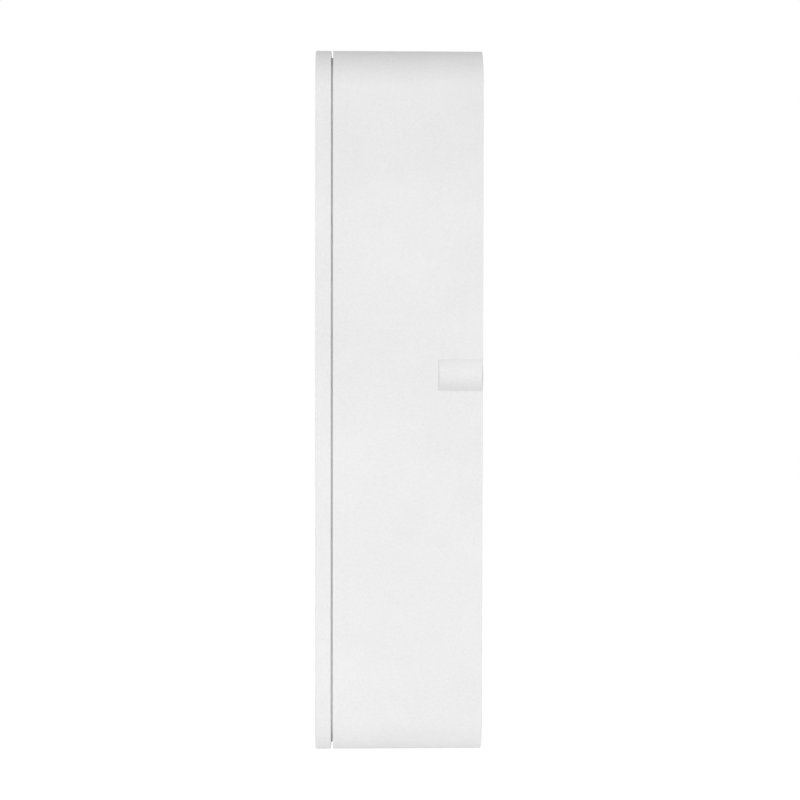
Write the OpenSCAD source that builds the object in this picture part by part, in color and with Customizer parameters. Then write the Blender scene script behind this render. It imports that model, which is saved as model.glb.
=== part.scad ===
// Battery video doorbell on a flush wall plate.
// Frame: x to the right seen from the front, y from the front to the wall, z up.
// The origin is the centre of the wall plane.

/* [Overall] */
// Width of the doorbell
body_w = 46; // [44:0.5:60]
// Height of the doorbell
body_h = 140; // [138:1:170]
// Depth from the wall to the front face
body_d = 33.3; // [33:0.1:42]
// Radius of the four corners seen from the front
corner_r = 7.8; // [6:0.1:12]

/* [Shell] */
// Thickness of the front fascia at its edge
fascia_t = 3.1; // [3:0.1:4]
// Thickness of the fascia behind its flat face
face_t = 1.9; // [1.8:0.05:2]
// Width of the shadow gap behind the fascia
gap_w = 0.4; // [0.3:0.01:0.6]
// Depth of the shadow gap
groove_d = 1.4; // [1.2:0.1:1.6]
// Thickness of the housing walls
wall = 2.6; // [2.4:0.1:3]
// Thickness of the housing's rear wall
rear_wall = 2; // [1.6:0.1:2.2]
// Depth of the skirt that hides the wall plate
skirt_d = 4.2; // [4:0.1:5]
// Thickness of the sealing gasket
gasket_t = 0.5; // [0.4:0.05:0.6]
// Width of the lug that fills the shadow gap at the bottom
lug_w = 10; // [6:1:16]
// How far the lug stays below the bottom face
lug_sink = 0.25; // [0.2:0.05:0.6]

/* [Finger scoops] */
// Length of a scoop from the wall side
scoop_len = 9; // [6:0.5:14]
// Height of a scoop's opening
scoop_h = 6.25; // [5:0.25:10]
// Depth of a scoop
scoop_depth = 1.4; // [1:0.1:1.6]
// Height of the scoops above the middle
scoop_z = 5.4; // [-20:0.1:20]
// Lean of a scoop's end wall
scoop_draft = 16; // [0:1:30]

/* [Wall plate] */
// Thickness of the wall plate
plate_t = 2; // [1.8:0.1:2.4]
// Distance between the two wall screw holes
screw_spacing = 118; // [112:0.5:120]
// Diameter of a wall screw hole
screw_hole_d = 4.3; // [3.5:0.1:5]
// Diameter of the recess for a wall screw head
screw_head_d = 8.8; // [7:0.1:10]
// Width of the wire passage
passage_w = 22; // [18:1:26]
// Height of the wire passage
passage_h = 19; // [14:0.5:22]
// Diameter of a guide post
post_d = 3.2; // [2.6:0.1:3.6]

/* [Camera] */
// Distance from the top edge to the lens axis
camera_drop = 24; // [23.5:0.5:26]
// Width of the dark camera window
window_w = 31; // [29:0.5:33]
// Height of the dark camera window
window_h = 34; // [33:0.5:36]
// Corner radius of the camera window
window_r = 6; // [3:0.5:9]
// Thickness of the camera window
window_t = 1.1; // [0.9:0.05:1.2]
// Diameter of the clear lens cover
cover_d = 16.8; // [16:0.1:18]

/* [Call button] */
// Distance from the bottom edge to the button's centre
button_rise = 40; // [39:0.5:44]
// Diameter of the button cap
button_d = 23.2; // [20:0.1:24]
// Outer diameter of the light ring
ring_d = 27.8; // [27:0.1:30]
// Travel of the button
button_travel = 0.5; // [0.3:0.05:0.5]

/* [Speaker] */
// Distance from the bottom edge to the speaker's centre
speaker_rise = 13.5; // [13:0.5:15]
// Diameter of the speaker
speaker_d = 20; // [18:0.5:20]
// Number of sound slots
slot_count = 5; // [3:1:5]
// Length of a sound slot
slot_len = 12; // [8:0.5:14]
// Height of a sound slot
slot_h = 1.2; // [1:0.1:1.4]
// Distance between sound slots
slot_pitch = 2.6; // [2.2:0.1:3]

/* [Motion sensor] */
// Diameter of the motion sensor's lens
pir_d = 12.8; // [10:0.1:13]
// Diameter of the microphone hole
mic_hole_d = 1.2; // [0.8:0.1:1.6]

/* [Battery] */
// Diameter of a cell
cell_d = 18.4; // [16:0.1:18.6]
// Length of a cell
cell_len = 65; // [50:0.5:65]

/* [Charging port] */
// Width of the flap over the port
flap_w = 17.8; // [16:0.1:18.4]
// Length of the flap from its hinge to its free edge
flap_len = 7.2; // [6.6:0.1:7.6]
// Thickness of the flap
flap_t = 1.2; // [1:0.1:1.3]
// Width of the nail notch at the flap's free edge
nail_w = 6; // [4:0.5:9]

/* [Hidden] */
$fn = 64;

// Clearances
fit = 0.1;          // located pieces that don't move
run_gap = 0.3;      // moving pieces past their neighbours
pin_fit = 0.05;     // pins and plungers in their bores
plate_gap = 0.4;    // wall plate and chassis inside the housing
rim_gap = 0.2;      // housing rim in front of the wall
cut = 1;            // how far a cutting shape passes a face

// Planes from front to back
front_y = -body_d;
face_back_y = front_y + face_t;
fascia_back_y = front_y + fascia_t;
shell_front_y = fascia_back_y + gap_w;
lip_front_y = face_back_y + gasket_t;
board_t = 1;
board_setback = 4.9;
board_front_y = front_y + board_setback;
board_back_y = board_front_y + board_t;
board_post = 1;
chassis_t = 1;
chassis_front_y = board_back_y + board_post;
chassis_back_y = chassis_front_y + chassis_t;
rear_out_y = -skirt_d;
rear_in_y = rear_out_y - rear_wall;
rim_y = -rim_gap;

// Edges of the inside of the housing
in_x = body_w / 2 - wall;
in_z = body_h / 2 - wall;

// Heights of the main groups
camera_z = body_h / 2 - camera_drop;
button_z = -body_h / 2 + button_rise;
speaker_z = -body_h / 2 + speaker_rise;
board_top_z = camera_z - window_h / 2 - 2;
board_bottom_z = -body_h / 2 + 26;
mic_z = board_top_z - 2.5;
pir_z = board_top_z - 13;

// Screws
small_r = 0.7;       // board screw shaft
small_head_r = 1.4;
small_head_h = 0.8;
small_len = 2.6;
large_r = 0.95;      // case screw shaft
large_head_r = 1.9;
large_head_h = 0.95;
thread_gap = 0.05;   // shaft inside its pilot hole
pillar_x = body_w / 2 - 6.5;
pillar_z = body_h / 2 - 8;
pillar_r = 2.5;
fascia_screw_x = body_w / 2 - 5.5;
fascia_screw_zs = [camera_z + 10, -body_h / 2 + 16];
fascia_boss_r = 2.2;
board_screw_x = 16.2;
board_screw_zs = [board_top_z - 2.8, board_bottom_z + 8.5];
board_w = 37.2;

// Scoop
scoop_r = (scoop_h * scoop_h / 4 + scoop_depth * scoop_depth) / (2 * scoop_depth);

// Camera
window_sink = 0.1;
window_back_y = front_y + window_sink + window_t;
window_ledge = 1.2;
shroud_r = cover_d / 2 + 1.4;
shroud_tube_r = 8;
shroud_bore_r = 6.9;
barrel_head_r = 6.5;
barrel_r = 5;
element_r = 5.5;
ir_board_y = front_y + 3.3;
ir_board_t = 0.8;
ir_board_w = 28;
ir_board_h = 31;
ir_post_x = 11.5;
ir_post_z = 13;
camera_board_y = front_y + 18.1;
camera_board_t = 0.8;
camera_board_w = 28;
camera_board_h = 26;
camera_post_x = 12;
camera_post_z = 10.8;
holder_w = 21;
holder_h = 16;
holder_len = 7.6;
filter_shift = 5;
filter_y = camera_board_y - 2.2;   // middle plane of the filter frame
filter_t = 0.8;
filter_h = 6;
filter_slot = 1.4;

// Call button
ring_r = ring_d / 2;
ring_bore_r = button_d / 2 + run_gap;
ring_step_y = front_y + 1.6;
ring_flange_r = ring_r + 1.5;
ring_back_y = front_y + 2.7;
cap_top_y = front_y + 0.05;
cap_flange_r = button_d / 2 + 0.8;
cap_flange_y = ring_step_y + 0.15;
cap_back_y = cap_flange_y + 0.6;
stem_r = 2;
stem_end_y = front_y + 3.3;
switch_w = 6.2;
switch_front_y = board_front_y - 0.9;
plunger_r = 1.4;
plunger_end_y = stem_end_y + 0.85;
led_count = 8;

// Speaker
speaker_r = speaker_d / 2;
speaker_front_y = face_back_y + 0.9;
diaphragm_r = 6.6;
diaphragm_y = front_y + 3.6;
coil_r = 4.8;
box_w = 24;
box_h = 20.4;
box_wall = 1;
box_back_y = front_y + 14.6;

// Battery
cell_r = cell_d / 2;
cell_gap = 0.6;
cell_x = cell_r + cell_gap / 2;
cell_y = chassis_back_y + fit + cell_r;
cell_z0 = -body_h / 2 + 28;
cell_z1 = cell_z0 + cell_len;
cradle_w = 2 * in_x - 1.6;
cradle_wall = 1.6;
cradle_room = 1.2;   // room for strips and board at each end of the cells
cradle_z0 = cell_z0 - cradle_room;
cradle_z1 = cell_z1 + cradle_room;
cradle_back_y = rear_in_y - 0.2;
end_room_x = 14.5;   // half the width of the room for strips and board
lead_xs = [10.9, 12.1];
tab_x = 15.8;
tab_len = 4.8;

// Power board, port and terminals, placed from the rear wall
power_y = rear_in_y - 7;          // front face of the power board
power_t = 0.8;
power_w = 20;
power_z0 = -in_z + 0.8;
power_z1 = -body_h / 2 + 20;
usb_w = 8.94;
usb_d = 3.26;
usb_len = 7.3;
usb_y = power_y - usb_d / 2;
flap_axis_r = flap_t / 2;
flap_x = -2;
flap_gap = 0.5;
flap_axis_y = usb_y + 3.13;
flap_axis_z = -body_h / 2 + flap_axis_r;
flap_pin_r = 0.5;
flap_pin_len = 1;
pocket_depth = 1.6;
reset_x = -8;
reset_r = 0.9;
reset_travel = 0.3;
reset_tip_z = -body_h / 2 + pocket_depth + 0.1;
reset_switch_z = -body_h / 2 + 4.2;
tamper_x = -7.2;
tamper_z = -body_h / 2 + 8;
tamper_r = 1.2;
tamper_travel = 0.4;
tamper_w = 5;
tamper_back_y = power_y + power_t + 3;
terminal_x = 5.5;
terminal_z = -body_h / 2 + 21.5;
insert_r = 2.4;
power_screws = [[0, power_z1 - 3.4], [7.8, -body_h / 2 + 6.2]];

// Wall plate
plate_edge = wall + plate_gap;
plate_w = body_w - 2 * plate_edge;
plate_h = body_h - 2 * plate_edge;
plate_r = corner_r - plate_edge;
rib_w = 1.6;
rib_y = rear_out_y + run_gap;
passage_z = terminal_z - insert_r - 1 + passage_h / 2;
guide_posts = [[-13, camera_z + 4], [13, -body_h / 2 + 14]];
post_end_y = rear_in_y - 2.1;
post_gap = 0.2;
latch_w = 12;
latch_seat = 0.5;
latch_r = 1.4;
latch_t = 0.3;
latch_y = -2.15;
latch_nose = 0.6;    // how far the latch stands into the skirt
latch_top_z = in_z + latch_nose;

// Flat outline of a rounded rectangle
module rounded(w, h, r) {
  square([w - 2 * r, h], center = true);
  square([w, h - 2 * r], center = true);
  for (x = [-1, 1], z = [-1, 1])
    translate([x * (w / 2 - r), z * (h / 2 - r)]) circle(r = r);
}

// Rounded slab seen from the front, from y0 back to y1
module slab(w, h, r, y0, y1) {
  translate([0, y1, 0]) rotate([90, 0, 0]) linear_extrude(height = y1 - y0) rounded(w, h, r);
}

// Box between two corners
module box(a, b) {
  translate(a) cube(b - a);
}

// Round rod along y
module rod_y(r, y0, y1, x = 0, z = 0) {
  translate([x, y0, z]) rotate([-90, 0, 0]) cylinder(r = r, h = y1 - y0);
}

// Turned piece about a y axis, from its points of radius and y
module turned(points, x = 0, z = 0) {
  translate([x, 0, z]) rotate([-90, 0, 0]) rotate_extrude($fn = 96) polygon(points);
}

// Straight round wire between two points
module wire_run(a, b, r) {
  d = b - a;
  len = norm(d);
  translate(a) rotate([0, acos(d[2] / len), atan2(d[1], d[0])]) cylinder(r = r, h = len, $fn = 24);
}

// Wire through a list of points, with a round bead at each bend
module wire(path, r) {
  for (i = [0:len(path) - 2]) wire_run(path[i], path[i + 1], r);
  for (i = [1:len(path) - 2]) translate(path[i]) sphere(r = r * 1.15, $fn = 24);
}

// Screw with its head towards y_head and its shaft along dir
module screw(head_r, head_h, r, length, x, y, z, dir) {
  y0 = dir > 0 ? y - head_h : y;
  s0 = dir > 0 ? y : y - length;
  difference() {
    rod_y(head_r, y0, y0 + head_h, x, z);
    c0 = dir > 0 ? y0 - cut : y0 + head_h / 2;
    c1 = dir > 0 ? y0 + head_h / 2 : y0 + head_h + cut;
    for (a = [0, 90])
      translate([x, (c0 + c1) / 2, z]) rotate([0, a, 0])
        cube([head_r * 1.2, c1 - c0, head_r * 0.3], center = true);
  }
  rod_y(r, s0, s0 + length, x, z);
}

module latch_profile() {
  intersection() {
    difference() {
      circle(r = latch_r);
      circle(r = latch_r - latch_t);
    }
    translate([-latch_r - cut, plate_h / 2 - latch_seat - (latch_top_z - latch_r)])
      square([2 * (latch_r + cut), 2 * latch_r]);
  }
}

module wall_plate() {
  color("dimgray") difference() {
    union() {
      slab(plate_w, plate_h, plate_r, -plate_t, 0);
      difference() {
        slab(plate_w, plate_h, plate_r, rib_y, -plate_t / 2);
        slab(plate_w - 2 * rib_w, plate_h - 2 * rib_w, plate_r - rib_w, rib_y - cut, 0);
      }
      for (s = [-1, 1])
        rod_y(screw_head_d / 2 + 1.2, rib_y + 0.2, -plate_t / 2, 0, s * screw_spacing / 2);
      for (p = guide_posts) rod_y(post_d / 2, post_end_y, -plate_t / 2, p[0], p[1]);
    }
    for (s = [-1, 1]) {
      rod_y(screw_hole_d / 2, rib_y - cut, cut, 0, s * screw_spacing / 2);
      rod_y(screw_head_d / 2, rib_y - cut, -1.6, 0, s * screw_spacing / 2);
      box([-latch_w / 2 - fit, rib_y - cut, s * (plate_h / 2 + (s > 0 ? -latch_seat : cut))],
        [latch_w / 2 + fit, cut, s * (plate_h / 2 + (s > 0 ? cut : -latch_seat))]);
    }
    translate([0, 0, passage_z]) slab(passage_w, passage_h, 3, rib_y - cut, cut);
  }
}

module latch_springs() {
  color("silver") for (s = [0, 1]) mirror([0, 0, s])
    translate([-latch_w / 2, latch_y, latch_top_z - latch_r])
      rotate([90, 0, 90]) linear_extrude(height = latch_w) latch_profile();
}

// A round channel that runs out of the rim, and ends in a leaning wall
module scoop_cut() {
  reach = scoop_len + 2 * scoop_r;
  for (s = [0, 1]) mirror([s, 0, 0]) intersection() {
    rod_y(scoop_r, -reach, cut, body_w / 2 + scoop_r - scoop_depth, scoop_z);
    translate([body_w / 2, -scoop_len, scoop_z]) rotate([0, 0, scoop_draft])
      translate([-reach, 0, -reach]) cube(2 * reach);
  }
}

module port_cuts() {
  pocket_y0 = flap_axis_y - flap_len - run_gap;
  pocket_y1 = flap_axis_y + flap_axis_r + flap_gap;
  floor_z = -body_h / 2 + pocket_depth;
  box([flap_x - flap_w / 2 - run_gap, pocket_y0, -body_h / 2 - cut],
    [flap_x + flap_w / 2 + run_gap, pocket_y1, floor_z]);
  box([-usb_w / 2 - 0.4, usb_y - usb_d / 2 - 0.4, floor_z - cut],
    [usb_w / 2 + 0.4, usb_y + usb_d / 2 + 0.4, -in_z + cut]);
  translate([flap_x, pocket_y0 + 0.8, -body_h / 2 - cut]) cylinder(r = nail_w / 2, h = cut + 0.9);
  translate([reset_x, usb_y, floor_z - cut]) cylinder(r = reset_r + run_gap, h = wall + cut);
  hinge_len = flap_w + 2 * flap_pin_len + 2 * run_gap;
  translate([flap_x - hinge_len / 2, flap_axis_y, flap_axis_z])
    rotate([0, 90, 0]) cylinder(r = flap_pin_r + pin_fit, h = hinge_len);
}

module rear_housing() {
  color("white") difference() {
    union() {
      difference() {
        union() {
          slab(body_w, body_h, corner_r, shell_front_y, rim_y);
          slab(body_w - 2 * groove_d, body_h - 2 * groove_d, corner_r - groove_d,
            lip_front_y, shell_front_y + cut);
        }
        slab(2 * in_x, 2 * in_z, corner_r - wall, front_y, rear_in_y);
        slab(2 * in_x, 2 * in_z, corner_r - wall, rear_out_y, cut);
      }
      box([-lug_w / 2, fascia_back_y + 0.08, -body_h / 2 + lug_sink],
        [lug_w / 2, shell_front_y + cut, -body_h / 2 + groove_d + 0.4]);
      for (p = guide_posts)
        rod_y(post_d / 2 + 1.6, post_end_y - 1.4, rear_in_y + rear_wall / 2, p[0], p[1]);
      for (s = [-1, 1])
        rod_y(insert_r + 0.8, rear_in_y - 2.8, rear_in_y + rear_wall / 2, s * terminal_x, terminal_z);
      for (p = power_screws)
        rod_y(1.7, power_y + power_t, rear_in_y + rear_wall / 2, p[0], p[1]);
    }
    scoop_cut();
    port_cuts();
    for (p = guide_posts)
      rod_y(post_d / 2 + post_gap, post_end_y - 0.6, rear_out_y + cut, p[0], p[1]);
    for (s = [-1, 1])
      rod_y(insert_r + fit, rear_in_y - 2.8 - cut, rear_out_y + cut, s * terminal_x, terminal_z);
    for (p = power_screws)
      rod_y(small_r + thread_gap, power_y + power_t - cut, power_y + power_t + 3.4, p[0], p[1]);
    rod_y(tamper_r + run_gap, rear_in_y - cut, rear_out_y + cut, tamper_x, tamper_z);
    for (x = [-1, 1], z = [-1, 1]) {
      rod_y(large_r + 0.25, rear_in_y - cut, rear_out_y + cut, x * pillar_x, z * pillar_z);
      rod_y(large_head_r + 0.2, rear_out_y - large_head_h - 0.1, rear_out_y + cut,
        x * pillar_x, z * pillar_z);
    }
    for (s = [-1, 1])
      box([-latch_w / 2 - 0.5, latch_y - latch_r - 0.05, s * (in_z + (s > 0 ? -cut : 0.95))],
        [latch_w / 2 + 0.5, latch_y + latch_r + 0.05, s * (in_z + (s > 0 ? 0.95 : -cut))]);
  }
}

module front_fascia() {
  color("white") difference() {
    union() {
      slab(body_w, body_h, corner_r, front_y, face_back_y);
      difference() {
        slab(body_w, body_h, corner_r, face_back_y - 0.5, fascia_back_y);
        slab(body_w - 2 * (groove_d - fit), body_h - 2 * (groove_d - fit),
          corner_r - groove_d + fit, face_back_y - cut, fascia_back_y + cut);
      }
      for (x = [-1, 1], z = fascia_screw_zs)
        rod_y(fascia_boss_r, face_back_y - 0.5, chassis_front_y, x * fascia_screw_x, z);
    }
    for (x = [-1, 1], z = fascia_screw_zs)
      rod_y(large_r + thread_gap, face_back_y + 0.8, chassis_front_y + cut, x * fascia_screw_x, z);
    translate([0, 0, camera_z]) {
      slab(window_w + 2 * fit, window_h + 2 * fit, window_r + fit, front_y - cut, window_back_y);
      slab(window_w - 2 * window_ledge, window_h - 2 * window_ledge, window_r - window_ledge,
        front_y - cut, face_back_y + cut);
    }
    rod_y(ring_r + fit, front_y - cut, face_back_y + cut, 0, button_z);
    rod_y(pir_d / 2 + fit, front_y - cut, face_back_y + cut, 0, pir_z);
    rod_y(mic_hole_d / 2, front_y - cut, face_back_y + cut, 0, mic_z);
    for (i = [0:slot_count - 1])
      translate([0, 0, speaker_z + (i - (slot_count - 1) / 2) * slot_pitch])
        slab(slot_len, slot_h, slot_h * 0.42, front_y - cut, face_back_y + cut);
  }
}

module main_gasket() {
  color("darkslategray") difference() {
    slab(body_w - 2 * (groove_d + fit), body_h - 2 * (groove_d + fit), corner_r - groove_d - fit,
      face_back_y, lip_front_y);
    slab(2 * in_x, 2 * in_z, corner_r - wall, face_back_y - cut, lip_front_y + cut);
  }
}

module chassis() {
  color("lightslategray") difference() {
    union() {
      slab(plate_w, plate_h, plate_r, chassis_front_y, chassis_back_y);
      for (x = [-1, 1], z = [-1, 1])
        rod_y(pillar_r, chassis_back_y - 0.5, rear_in_y, x * pillar_x, z * pillar_z);
      for (x = [-1, 1], z = board_screw_zs)
        rod_y(1.7, board_back_y, chassis_front_y + 0.5, x * board_screw_x, z);
      for (x = [-1, 1], z = [-1, 1]) {
        rod_y(1.7, ir_board_y + ir_board_t, chassis_front_y + 0.5,
          x * ir_post_x, camera_z + z * ir_post_z);
        rod_y(1.9, chassis_back_y - 0.5, camera_board_y,
          x * camera_post_x, camera_z + z * camera_post_z);
      }
    }
    for (x = [-1, 1], z = [-1, 1]) {
      rod_y(large_r + thread_gap, rear_in_y - 8, rear_in_y + cut, x * pillar_x, z * pillar_z);
      rod_y(small_r + thread_gap, ir_board_y + ir_board_t - cut, chassis_back_y - 0.2,
        x * ir_post_x, camera_z + z * ir_post_z);
      rod_y(small_r + thread_gap, camera_board_y - 3, camera_board_y + cut,
        x * camera_post_x, camera_z + z * camera_post_z);
    }
    for (x = [-1, 1], z = board_screw_zs)
      rod_y(small_r + thread_gap, board_back_y - cut, chassis_back_y - 0.1, x * board_screw_x, z);
    for (x = [-1, 1], z = fascia_screw_zs)
      rod_y(large_r + 0.25, chassis_front_y - cut, chassis_back_y + cut, x * fascia_screw_x, z);
    for (x = [-1, 1], z = [cradle_z0 - cradle_wall - tab_len / 2, cradle_z1 + cradle_wall + tab_len / 2])
      rod_y(small_r + thread_gap, chassis_front_y - cut, chassis_back_y + cut, x * tab_x, z);
    rod_y(barrel_head_r + 0.6, chassis_front_y - cut, chassis_back_y + cut, 0, camera_z);
    rod_y(7.5, chassis_front_y - cut, chassis_back_y + cut, 0, speaker_z);
    for (x = [-1, 1])
      box([x * 12.4 - 3, chassis_front_y - cut, board_bottom_z - 2.6],
        [x * 12.4 + 3, chassis_back_y + cut, board_bottom_z + 5.6]);
    box([-7, chassis_front_y - cut, board_top_z - 6.2], [7, chassis_back_y + cut, board_top_z + 4.6]);
  }
}

module camera_window() {
  color("black") translate([0, 0, camera_z]) difference() {
    slab(window_w, window_h, window_r, front_y + window_sink, window_back_y);
    rod_y(cover_d / 2 + fit, front_y - cut, window_back_y + cut);
  }
}

module lens_cover() {
  color("lightblue") rod_y(cover_d / 2, front_y + window_sink, window_back_y, 0, camera_z);
}

module camera_shroud() {
  flange_y = window_back_y + 0.7;
  color("black") turned([[shroud_bore_r, window_back_y], [shroud_r, window_back_y],
    [shroud_r, flange_y], [shroud_tube_r, flange_y], [shroud_tube_r, ir_board_y],
    [shroud_bore_r, ir_board_y]], 0, camera_z);
}

module lens_barrel() {
  top = front_y + 1.7;
  seat = front_y + 3.9;
  neck = front_y + 5.5;
  end = camera_board_y - 3.4;
  color("black") turned([[element_r + fit, top], [barrel_head_r, top], [barrel_head_r, neck],
    [barrel_r, neck], [barrel_r, end], [4.2, end], [4.2, seat + 0.8], [3.6, seat + 0.8],
    [3.6, seat], [element_r + fit, seat]], 0, camera_z);
}

module lens_front_element() {
  apex = front_y + 1.5;
  seat = front_y + 3.9;
  dome = 9;
  color("midnightblue") intersection() {
    rod_y(element_r, apex - cut, seat, 0, camera_z);
    translate([0, apex + dome, camera_z]) sphere(r = dome, $fn = 96);
  }
}

module lens_inner_elements() {
  first = front_y + 4.75;
  lens_len = 1.8;
  step = lens_len + 0.05;
  dish = 7;
  color("slateblue") for (i = [0:2]) difference() {
    rod_y(4.1, first + i * step, first + i * step + lens_len, 0, camera_z);
    translate([0, first + i * step + lens_len - 0.7 + dish, camera_z]) sphere(r = dish, $fn = 96);
  }
}

module lens_holder() {
  y0 = camera_board_y - holder_len;
  slot0 = filter_y - filter_slot / 2;
  slot1 = filter_y + filter_slot / 2;
  reach = filter_shift + 4.1;
  color("black") translate([0, 0, camera_z]) difference() {
    box([-holder_w / 2, y0, -holder_h / 2], [holder_w / 2, camera_board_y, holder_h / 2]);
    rod_y(barrel_r + pin_fit, y0 - cut, slot0 + 0.1);
    box([-reach, slot0, -filter_h / 2 - run_gap], [holder_w / 2 + cut, slot1, filter_h / 2 + run_gap]);
    box([-4.5, slot1 - 0.1, -4], [4.5, camera_board_y + cut, 4]);
  }
}

module image_sensor() {
  color("darkgreen") box([-3.6, camera_board_y - 1.1, camera_z - 3.2],
    [3.6, camera_board_y, camera_z + 3.2]);
}

module camera_board() {
  color("green") translate([0, 0, camera_z]) difference() {
    slab(camera_board_w, camera_board_h, 1, camera_board_y, camera_board_y + camera_board_t);
    for (x = [-1, 1], z = [-1, 1])
      rod_y(small_r + 0.15, camera_board_y - cut, camera_board_y + camera_board_t + cut,
        x * camera_post_x, z * camera_post_z);
  }
}

module filter_coil() {
  x0 = holder_w / 2 + 0.1;
  color("peru") box([x0, camera_board_y - 3.6, camera_z - 3], [x0 + 2.6, camera_board_y, camera_z + 3]);
}

module ir_filter_frame() {
  color("dimgray") translate([0, 0, camera_z]) difference() {
    box([-3, filter_y - filter_t / 2, -filter_h / 2], [filter_shift + 3, filter_y + filter_t / 2, filter_h / 2]);
    for (x = [0, filter_shift])
      box([x - 2, filter_y - filter_t, -2.2], [x + 2, filter_y + filter_t, 2.2]);
  }
}

module ir_filter_glass() {
  color("cyan") for (x = [0, filter_shift])
    box([x - 2 + 0.02, filter_y - 0.2, camera_z - 2.18], [x + 2 - 0.02, filter_y + 0.2, camera_z + 2.18]);
}

module camera_flex() {
  t = 0.15;
  drop = board_top_z + 3;
  start_y = camera_board_y;
  end_y = board_back_y + 0.15;
  edge = camera_z - camera_board_h / 2;
  color("orange") {
    box([-4, start_y - t, drop], [4, start_y, edge + 3]);
    box([-4, end_y, drop], [4, start_y, drop + t]);
    box([-4, end_y, board_top_z - 2.5], [4, end_y + t, drop + t]);
  }
}

module ir_board() {
  color("darkgreen") translate([0, 0, camera_z]) difference() {
    slab(ir_board_w, ir_board_h, 3, ir_board_y, ir_board_y + ir_board_t);
    rod_y(barrel_head_r + 0.4, ir_board_y - cut, ir_board_y + ir_board_t + cut);
    for (x = [-1, 1], z = [-1, 1])
      rod_y(small_r + 0.15, ir_board_y - cut, ir_board_y + ir_board_t + cut,
        x * ir_post_x, z * ir_post_z);
  }
}

module ir_leds() {
  color("gray") for (x = [-1, 1], z = [-1, 1]) {
    translate([x * 11.2, 0, camera_z + z * 5]) {
      box([-1.5, ir_board_y - 0.7, -1.5], [1.5, ir_board_y, 1.5]);
      rod_y(1.2, ir_board_y - 1.2, ir_board_y - 0.5);
    }
  }
}

module light_sensor() {
  color("lightgray") box([-1, ir_board_y - 0.8, camera_z - 13.5], [1, ir_board_y, camera_z - 11.5]);
}

module pir_lens() {
  top = front_y + window_sink;
  back = face_back_y + 1;
  r = pir_d / 2;
  color("whitesmoke") turned([[0, top], [r, top], [r, face_back_y], [r + 1.5, face_back_y],
    [r + 1.5, back], [r - 0.8, back], [r - 0.8, top + 0.8], [0, top + 0.8]], 0, pir_z);
}

module pir_sensor() {
  color("silver") box([-2.35, board_front_y - 2.4, pir_z - 2.35], [2.35, board_front_y, pir_z + 2.35]);
}

module mic_boot() {
  color("darkslategray") difference() {
    rod_y(2.2, face_back_y, board_front_y - 1.2, 0, mic_z);
    rod_y(mic_hole_d / 2 + 0.1, face_back_y - cut, board_front_y, 0, mic_z);
  }
}

module microphone() {
  color("gold") box([-1.9, board_front_y - 1.2, mic_z - 1.5], [1.9, board_front_y, mic_z + 1.5]);
}

module call_button() {
  r = button_d / 2;
  inside_y = cap_top_y + 1.45;
  color("white") turned([[0, cap_top_y], [r, cap_top_y], [r, cap_flange_y],
    [cap_flange_r, cap_flange_y], [cap_flange_r, cap_back_y], [r - 0.8, cap_back_y],
    [r - 0.8, inside_y], [stem_r, inside_y], [stem_r, stem_end_y], [0, stem_end_y]], 0, button_z);
}

module switch_plunger() {
  color("ivory") rod_y(plunger_r, stem_end_y, plunger_end_y, 0, button_z);
}

module light_ring() {
  top = front_y + window_sink;
  color("lightcyan") turned([[ring_bore_r, top], [ring_r, top], [ring_r, face_back_y],
    [ring_flange_r, face_back_y], [ring_flange_r, ring_back_y],
    [cap_flange_r + run_gap, ring_back_y], [cap_flange_r + run_gap, ring_step_y],
    [ring_bore_r, ring_step_y]], 0, button_z);
}

module button_membrane() {
  color("gainsboro") turned([[stem_r + run_gap, ring_back_y], [ring_flange_r - 0.2, ring_back_y],
    [ring_flange_r - 0.2, ring_back_y + 0.3], [stem_r + run_gap, ring_back_y + 0.3]], 0, button_z);
}

module button_switch() {
  h = switch_w / 2;
  color("darkslategray") difference() {
    box([-h, switch_front_y, button_z - h], [h, board_front_y, button_z + h]);
    rod_y(plunger_r + 0.1, switch_front_y - cut, board_front_y - 0.1, 0, button_z);
  }
}

module ring_leds() {
  color("lightyellow") for (i = [0:led_count - 1])
    translate([0, 0, button_z]) rotate([0, (i + 0.5) * 360 / led_count, 0])
      box([ring_r - 0.8, board_front_y - 0.7, -0.8], [ring_r + 0.8, board_front_y, 0.8]);
}

module main_board() {
  mid = (board_top_z + board_bottom_z) / 2;
  color("green") difference() {
    translate([0, 0, mid]) slab(board_w, board_top_z - board_bottom_z, 1.5, board_front_y, board_back_y);
    for (x = [-1, 1], z = board_screw_zs)
      rod_y(small_r + 0.15, board_front_y - cut, board_back_y + cut, x * board_screw_x, z);
  }
}

module shield_can() {
  z0 = button_z + ring_flange_r + 3.5;
  z1 = pir_z - pir_d / 2 - 2.6;
  color("silver") difference() {
    box([-12, board_front_y - 1.6, z0], [12, board_front_y, z1]);
    box([-11.8, board_front_y - 1.4, z0 + 0.2], [11.8, board_front_y + cut, z1 - 0.2]);
  }
}

module board_connectors() {
  low_z = board_bottom_z + 2.2;
  color("ivory") {
    box([-6, board_back_y, board_top_z - 5.4], [6, board_back_y + 0.9, board_top_z - 2.6]);
    for (x = [-12.4, 12.4])
      box([x - 2.4, board_back_y, low_z - 0.2], [x + 2.4, board_back_y + 1, low_z + 3.2]);
  }
}

module battery_cells() {
  nub = 0.6;
  color("steelblue") for (s = [-1, 1]) translate([s * cell_x, cell_y, cell_z0]) {
    cylinder(r = cell_r, h = cell_len - nub);
    cylinder(r = 3, h = cell_len);
  }
}

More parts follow.
